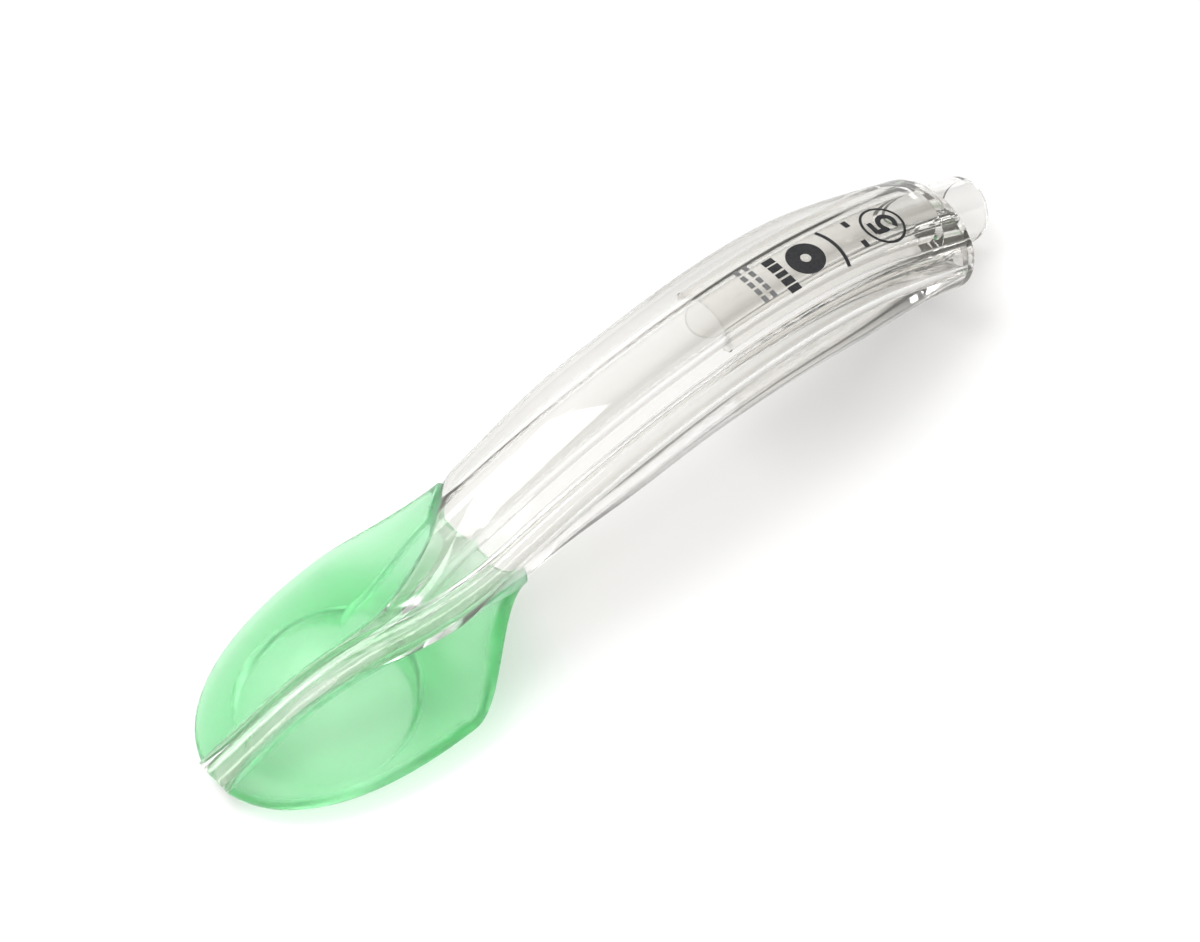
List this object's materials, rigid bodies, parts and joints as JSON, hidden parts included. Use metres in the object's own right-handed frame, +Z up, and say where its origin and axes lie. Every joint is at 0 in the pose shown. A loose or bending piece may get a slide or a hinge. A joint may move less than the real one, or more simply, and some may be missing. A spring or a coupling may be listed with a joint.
{
  "type": "supraglottic airway",
  "caption": "Supraglottic airway: an arched clear elastomer stem with a gastric drain, a rigid 15 mm connector and bite tube, and a soft green gel mask with an open bowl.",
  "frame": {"origin": "middle of the base of the bounding box, on the surface that the airway lies on", "axes": "+X along the length towards the connector, +Z up out of the tongue side of the stem, the gastric drain runs on the -Y side"},
  "size_m": [0.2196, 0.0534, 0.0429],
  "materials": {
    "clear_rigid": "clear polished rigid plastic",
    "clear_elastomer": "clear soft elastomer with a satin gloss",
    "green_gel": "translucent green gel",
    "print_ink": "black pad print"
  },
  "bodies": {
    "root": {"connector_tube": "clear_rigid", "airway_stem": "clear_elastomer", "mask_cuff": "green_gel"}
  },
  "joints": []
}
